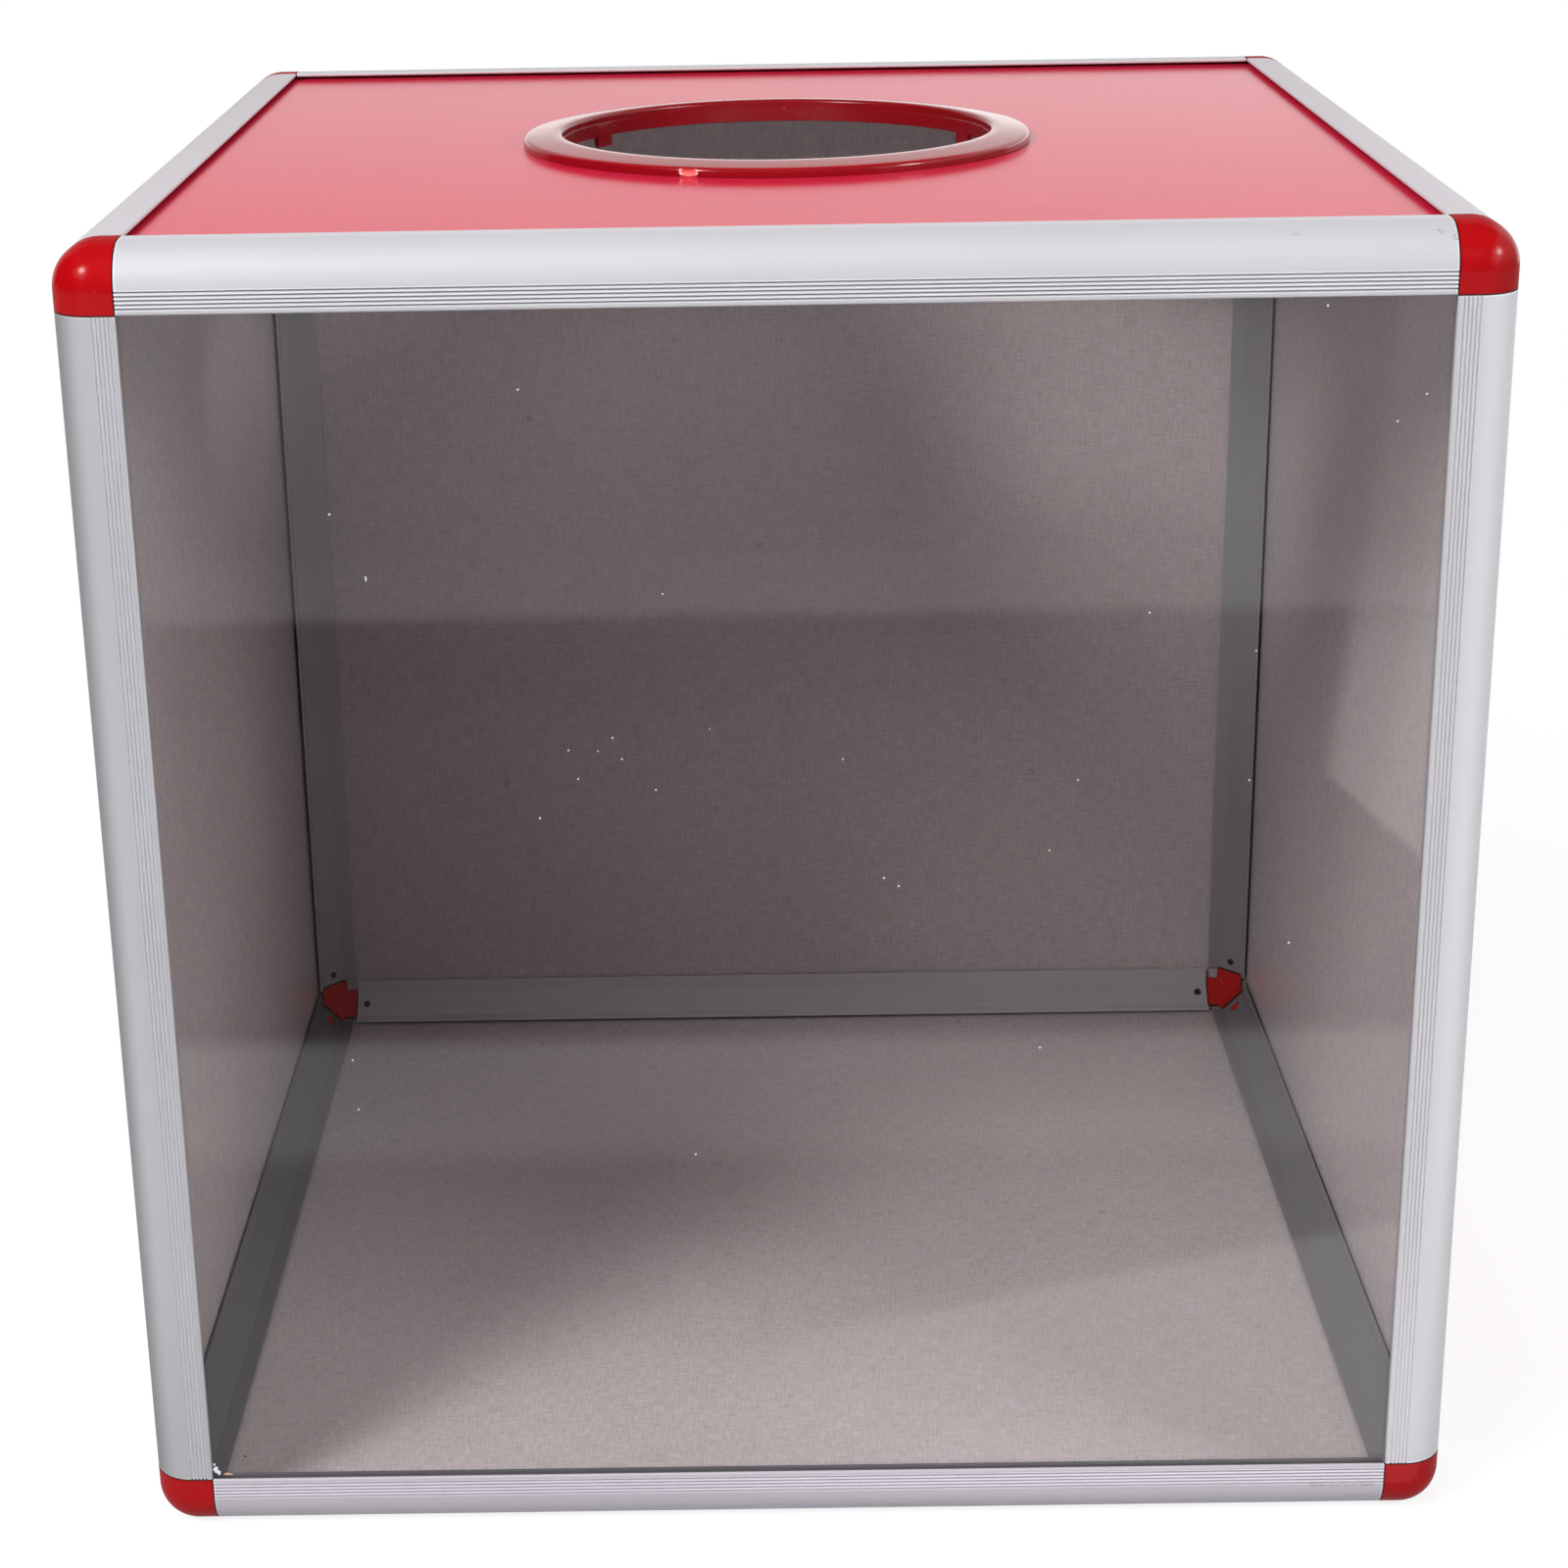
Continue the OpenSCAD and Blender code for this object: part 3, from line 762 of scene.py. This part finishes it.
# one fleck: a flattened, uneven bead half sunk in the face
def addFleck(name, x, z, wide, tall, kind, index):
    bpy.ops.object.select_all(action="DESELECT")
    bpy.ops.mesh.primitive_ico_sphere_add(subdivisions=2, radius=1, location=(0, 0, 0))
    piece = fresh(name)
    edit(piece)
    bpy.ops.mesh.select_all(action="SELECT")
    bpy.ops.transform.vertex_random(offset=dust["uneven"], uniform=0.8, normal=0.2,
                                    seed=dust["seed"] + index)
    leaveEdit()
    thick = min(wide, tall) * dust["flat"]
    middle = dust["face"] + dust["sunk"] - thick * 0.4
    piece.data.transform(Matrix.Translation((x * mm, middle * mm, z * mm))
                         @ Matrix.Diagonal((wide * mm, thick * mm, tall * mm, 1)))
    paint(piece, dustFinish[kind])
    return piece


dustFinish = {kind: crumbly(kind + "Grain", colour) for kind, colour in dust["colours"].items()}
beads = [addFleck("bead%d" % i, x, z, wide, tall, kind[0] if kind else "fleck", i)
         for i, (x, z, wide, tall, *kind) in enumerate(dust["flecks"] + dust["crumbs"])]
windowDust = joined(beads, "windowDust")
tidyUp(windowDust, 60)
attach(windowDust, "root")
print("window done")

# Small dark screws
steel = {
    "colour": tint(0.045, 0.042, 0.042), "metallic": 0.9, "roughness": 0.30,
    "grainScale": 2500, "grainTone": 0.6, "grainRough": 0.2, "grainDepth": 0.01 * mm,
}


def blackenedSteel():
    f = Finish("blackenedSteel")
    grain = f.noise(f.place(), [steel["grainScale"]] * 3, 2.0, 0.6)
    return f.end(f.coated({
        "Base Color": f.tone(steel["colour"], 0.7 + grain * steel["grainTone"]),
        "Metallic": steel["metallic"],
        "Roughness": steel["roughness"] + (grain - 0.5) * steel["grainRough"],
        "Normal": f.bump(grain, steel["grainDepth"])}))


# Pan-head screws with a cross, in the 45 degree inner walls: sizes in mm, centred on the box's
# middle
screw = {
    "head": 1.0, "rise": 0.42, "dome": 0.16,
    "shank": 0.6, "length": 3.6, "tip": 0.8, "tipShare": 0.25,
    # the head's steps up to its middle, as (inset, rise)
    "domeSteps": ((0.10, 0.06), (0.22, 0.06), (0.30, 0.04)),
    "crossLong": 1.1, "crossWide": 0.25, "crossDeep": 0.42, "crossShare": 0.6,
    "fromEnd": 17.1, "fromEdge": 6.8, "half": 150.0, "spin": 37,
}


def makeScrews():
    s = screw
    bpy.ops.object.select_all(action="DESELECT")
    bpy.ops.mesh.primitive_cylinder_add(vertices=32, radius=s["head"] * mm, depth=s["rise"] * mm,
                                        location=(0, 0, s["rise"] / 2 * mm))
    head = fresh("screwHead")
    settle(head)
    edit(head)
    choose(head, "faces", lambda face: face.normal.z > 0.9)
    for thickness, up in s["domeSteps"]:
        bpy.ops.mesh.inset(thickness=thickness * mm, depth=0)
        bpy.ops.transform.translate(value=(0, 0, up * mm))
    choose(head, "faces", lambda face: face.normal.z < -0.9)
    bpy.ops.mesh.inset(thickness=(s["head"] - s["shank"]) * mm, depth=0)
    for down in (s["length"] - s["tip"], s["tip"]):
        bpy.ops.mesh.extrude_region_move(TRANSFORM_OT_translate={"value": (0, 0, -down * mm)})
    bpy.ops.transform.resize(value=(s["tipShare"], s["tipShare"], 1))
    leaveEdit()
    top = s["rise"] + s["dome"]
    for long, wide in ((s["crossLong"], s["crossWide"]), (s["crossWide"], s["crossLong"])):
        tool = addBox("crossTool", (-long / 2, -wide / 2, top - s["crossDeep"]),
                      (long / 2, wide / 2, top + 0.5))
        edit(tool)
        choose(tool, "faces", lambda face: face.normal.z < -0.9)
        bpy.ops.transform.resize(value=(s["crossShare"], s["crossShare"], 1))
        leaveEdit()
        carve(head, tool)
    tidyUp(head)
    copies = []
    near, far = s["half"] - s["fromEdge"], s["half"] - s["fromEnd"]
    for sx in (-1, 1):
        for sy in (-1, 1):
            for sz in (-1, 1):
                crossRailScrew = (Vector((sx * far, sy * near, sz * near)), Vector((0, -sy, -sz)))
                postScrew = (Vector((sx * near, sy * near, sz * far)), Vector((-sx, -sy, 0)))
                for spot, inward in (crossRailScrew, postScrew):
                    turn = inward.to_track_quat("Z", "Y").to_matrix().to_4x4()
                    spin = Matrix.Rotation(math.radians(s["spin"] * len(copies)), 4, "Z")
                    at = Matrix.Translation((spot + Vector((0, 0, s["half"]))) * mm)
                    copies.append(copied(head, "screw%d" % len(copies), at @ turn @ spin))
    bpy.data.objects.remove(head)
    return joined(copies, "cornerScrewSet")


cornerScrewSet = makeScrews()
paint(cornerScrewSet, blackenedSteel())
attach(cornerScrewSet, "root")
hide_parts("corner_screws")
print("screws done")

# Studio: floor, lamps and world
studio = {
    "floorSize": 9.0,
    # the floor as the camera sees it: it keeps the shadow near the box and is white farther out
    "shadowFrom": 0.26, "shadowTo": 0.56, "floorTone": 0.24, "floorGlow": 0.82,
    # the light that it throws back on the box, near and far
    "bounceNear": 0.62, "bounceFar": 0.30, "bounceFrom": 0.17, "bounceTo": 0.45,
    "worldLight": 0.03,
    # name, azimuth to the left of the front, elevation, distance, size, power, shown in gloss
    "lamps": (
        ("keyLamp", 37, 31, 1.5, 0.40, 9.2, False),
        ("leftWing", 52, 36, 1.5, 0.45, 4.8, False),
        ("leftSpot", 43, 43, 1.5, 0.27, 6.0, True),
        ("frontLamp", -12, 38, 1.5, 0.45, 1.4, False),
        ("fillLamp", -50, 21, 1.5, 0.40, 6.6, False),
        ("rightSpot", -63, 31, 1.5, 0.27, 4.2, True),
        ("topLamp", 5, 70, 1.5, 0.60, 3.6, False),
        ("backLamp", 180, 28, 1.5, 0.50, 6.2, False),
    ),
    "aim": (0.0, 0.0, 0.12),
    # studio walls, which only shiny surfaces show: half width, front, back and height
    "room": (2.3, -2.4, 1.6, 2.5), "wallThick": 0.01, "rightFrom": -0.2, "rightTo": 1.0,
    "wallLight": 0.15, "leftLight": 0.02, "rightLight": 0.80, "floorLight": 0.40,
    # the lit backdrop behind the box: its light at half height, more light low down and high up,
    # and its change with x
    "backLight": 0.90, "lowLight": 0.54, "lowFrom": 0.44, "lowTo": 0.62,
    "highLight": 0.04, "highFrom": 0.76, "highTo": 0.90, "backSlope": 0.26,
}

# What the window mirrors: the table in front of the box, in metres. A line across it is given by
# the distance and the x of one point and its slope
mirrored = {
    "size": (2.4, 1.75),
    "near": 0.16, "height": 1 * mm,
    "colour": tint(1.0, 0.98, 0.985),
    # strips as (distance from, to, light)
    "strips": ((0.10, 0.341, 0.40), (0.341, 0.422, 0.80), (0.422, 0.755, 0.05),
               (0.893, 0.993, 0.52), (0.993, 1.95, 0.45)),
    "soft": 0.006,
    "clothEdge": 0.893, "clothWave": 0.022, "clothWaves": 38,
    # the lit corner of the cloth in front, right of the middle
    "cornerAt": (0.241, 0.023), "cornerSlope": 0.351, "cornerLight": 0.68,
    # the bright reflector on the right: its side, its foot and its fade
    "reflectorAt": (0.661, 0.214), "sideSlope": 0.23, "footSlope": 4.94,
    "reflectorLight": 1.05, "fadeFrom": 0.80, "fadeTo": 0.98, "fade": 0.75,
    # the soft glow along the left edge
    "glowFrom": 0.155, "glowSlope": 0.10, "glowSoft": 0.09, "glow": 0.45,
}


def seenRay(f):
    ray = f.add("ShaderNodeLightPath")
    return f.most(f.most(ray.out("Is Camera Ray"), ray.out("Is Glossy Ray")),
                  ray.out("Is Transmission Ray"))


def makeFloor():
    bpy.ops.object.select_all(action="DESELECT")
    bpy.ops.mesh.primitive_plane_add(size=studio["floorSize"], location=(0, 0, 0))
    floor = bpy.context.object
    floor.name = "studioFloor"
    f = Finish("studioFloor")
    x, y, z = f.split(f.place())
    away = f.maths("SQRT", x * x + y * y)
    far = f.rise(away, studio["shadowFrom"], studio["shadowTo"])
    reach = f.rise(away, studio["bounceFrom"], studio["bounceTo"])
    full, drop = studio["bounceNear"], studio["bounceNear"] - studio["bounceFar"]
    bounce = f.tone(tint(1, 1, 1), full - reach * drop)
    lit = f.add("ShaderNodeBsdfDiffuse", None, {"Color": bounce})
    pale = f.add("ShaderNodeBsdfDiffuse", None, {"Color": tint(*[studio["floorTone"]] * 3)})
    base = f.glow(tint(1, 1, 1), studio["floorGlow"])
    white = f.glow(tint(1, 1, 1), 1.0)
    near = f.add("ShaderNodeAddShader", None, {0: pale, 1: base})
    seen = f.mixed(far, near, white)
    paint(floor, f.end(f.mixed(seenRay(f), lit, seen)))
    floor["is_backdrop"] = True


# a sheet over the floor in front of the box that only mirror rays meet
def makeMirroredTable():
    wide, deep = mirrored["size"]
    bpy.ops.object.select_all(action="DESELECT")
    bpy.ops.mesh.primitive_plane_add(size=1, location=(0, 0, 0))
    table = bpy.context.object
    table.name = "mirroredTable"
    table.data.transform(Matrix.Diagonal((wide, deep, 1, 1)))
    table.data.transform(Matrix.Translation((0, -mirrored["near"] - deep / 2,
                                             mirrored["height"])))
    m = mirrored
    f = Finish("mirroredTable")
    x, y, z = f.split(f.place())
    away = 0 - y
    wave = f.noise(f.place(), (m["clothWaves"], 0.01, 0.01), 3.0, 0.6)
    wave = (wave - 0.5) * m["clothWave"]
    level = 0.0
    for start, stop, light in m["strips"]:
        at = away + wave if start == m["clothEdge"] else away
        soft = m["soft"] * (1 + 2 * start)
        begun = f.rise(at, start - soft, start + soft)
        level = begun * (1 - f.rise(away, stop - soft, stop + soft)) * light + level
    distance, right = m["cornerAt"]
    slant = away - (distance + m["cornerSlope"] * (x - right))
    corner = (1 - f.rise(slant, -4 * mm, 4 * mm)) * f.rise(x, -0.04, 0.05)
    level = level + corner * m["cornerLight"]
    distance, right = m["reflectorAt"]
    side = f.rise(x - (right + m["sideSlope"] * (away - distance)), -6 * mm, 6 * mm)
    foot = f.rise(away - (distance - m["footSlope"] * (x - right)), -16 * mm, 16 * mm)
    fade = m["reflectorLight"] - f.rise(away, m["fadeFrom"], m["fadeTo"]) * m["fade"]
    level = level + side * foot * fade
    fromLeft = 0 - x - (m["glowFrom"] + m["glowSlope"] * away)
    level = level + f.rise(fromLeft, 0.0, m["glowSoft"]) * m["glow"]
    paint(table, f.end(f.glow(m["colour"], level)))
    onlyMirrored(table)


# seen in mirrors and gloss, and neither by the camera nor by the light
def onlyMirrored(piece):
    piece.visible_camera = piece.visible_diffuse = piece.visible_transmission = False
    piece.visible_shadow = piece.visible_volume_scatter = False
    piece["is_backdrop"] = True


def makeRoom():
    half, front, back, height = studio["room"]
    bpy.ops.object.select_all(action="DESELECT")
    bpy.ops.mesh.primitive_cube_add(size=1, location=(0, 0, 0))
    room = bpy.context.object
    room.name = "studioRoom"
    room.data.transform(Matrix.Diagonal((2 * half, back - front, height, 1)))
    room.data.transform(Matrix.Translation((0, (back + front) / 2, height / 2 + 0.5 * mm)))
    f = Finish("studioRoom")
    x, y, z = f.split(f.place())
    light, thick = studio["wallLight"], studio["wallThick"]
    faded = f.rise(z, studio["rightFrom"], studio["rightTo"])
    level = light + (x > half - thick) * (studio["rightLight"] - light) * faded
    level = level + (x < thick - half) * (studio["leftLight"] - light)
    level = level + (z < 1 * mm) * (studio["floorLight"] - light)
    low = 1 - f.rise(z, studio["lowFrom"], studio["lowTo"])
    high = f.rise(z, studio["highFrom"], studio["highTo"])
    glow = studio["backLight"] + low * studio["lowLight"] + high * studio["highLight"]
    level = level + (y > back - thick) * (glow * (1 + x * studio["backSlope"]) - light)
    paint(room, f.end(f.glow(tint(1, 1, 1), level)))
    onlyMirrored(room)


def makeWorld():
    world = bpy.data.worlds.new("studioWorld")
    scene.world = world
    f = Finish("studioWorld", world)
    white = f.add("ShaderNodeBackground", None, {"Color": tint(1, 1, 1), "Strength": 1.0})
    soft = f.add("ShaderNodeBackground", None,
                 {"Color": tint(1, 1, 1), "Strength": studio["worldLight"]})
    f.end(f.mixed(seenRay(f), soft, white))


def makeLamps():
    aim = Vector(studio["aim"])
    for name, azimuth, elevation, distance, size, power, shiny in studio["lamps"]:
        turn, lift = math.radians(azimuth), math.radians(elevation)
        away = Vector((-math.sin(turn) * math.cos(lift), -math.cos(turn) * math.cos(lift),
                       math.sin(lift)))
        lamp = bpy.data.lights.new(name, "AREA")
        lamp.shape, lamp.size, lamp.energy = "DISK", size, power
        holder = bpy.data.objects.new(name, lamp)
        scene.collection.objects.link(holder)
        holder.location = aim + away * distance
        holder.visible_glossy = shiny
        holder.rotation_euler = (-away).to_track_quat("-Z", "Y").to_euler()


makeFloor()
makeMirroredTable()
makeRoom()
makeWorld()
makeLamps()

# The camera stands as the photo's did: metres, degrees and pixels of a 1600 frame
camera = {
    "at": (-7.7 * mm, -783.7 * mm, 407.9 * mm),
    "yaw": -0.353, "pitch": 20.067, "roll": -0.973,
    "focalPixels": 3213, "centre": (752, 832), "frame": 1600, "sensor": 36.0,
    "clip": (0.01, 50),
}


def makeCamera():
    lens = bpy.data.cameras.new("photoCamera")
    lens.sensor_width = camera["sensor"]
    lens.sensor_fit = "HORIZONTAL"
    lens.lens = camera["focalPixels"] / camera["frame"] * camera["sensor"]
    half = camera["frame"] / 2
    lens.shift_x = (half - camera["centre"][0]) / camera["frame"]
    lens.shift_y = (camera["centre"][1] - half) / camera["frame"]
    lens.clip_start, lens.clip_end = camera["clip"]
    holder = bpy.data.objects.new("photoCamera", lens)
    scene.collection.objects.link(holder)
    yaw, pitch, roll = (math.radians(camera[k]) for k in ("yaw", "pitch", "roll"))
    ahead = Vector((math.sin(yaw) * math.cos(pitch), math.cos(yaw) * math.cos(pitch),
                    -math.sin(pitch)))
    side = Vector((math.cos(yaw), -math.sin(yaw), 0))
    up = side.cross(ahead)
    right = side * math.cos(roll) + up * math.sin(roll)
    above = up * math.cos(roll) - side * math.sin(roll)
    turn = Matrix((right, above, -ahead)).transposed().to_4x4()
    holder.matrix_world = Matrix.Translation(camera["at"]) @ turn
    scene.camera = holder


makeCamera()
scene.view_settings.view_transform = "Standard"
print("studio and camera done")

low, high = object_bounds()
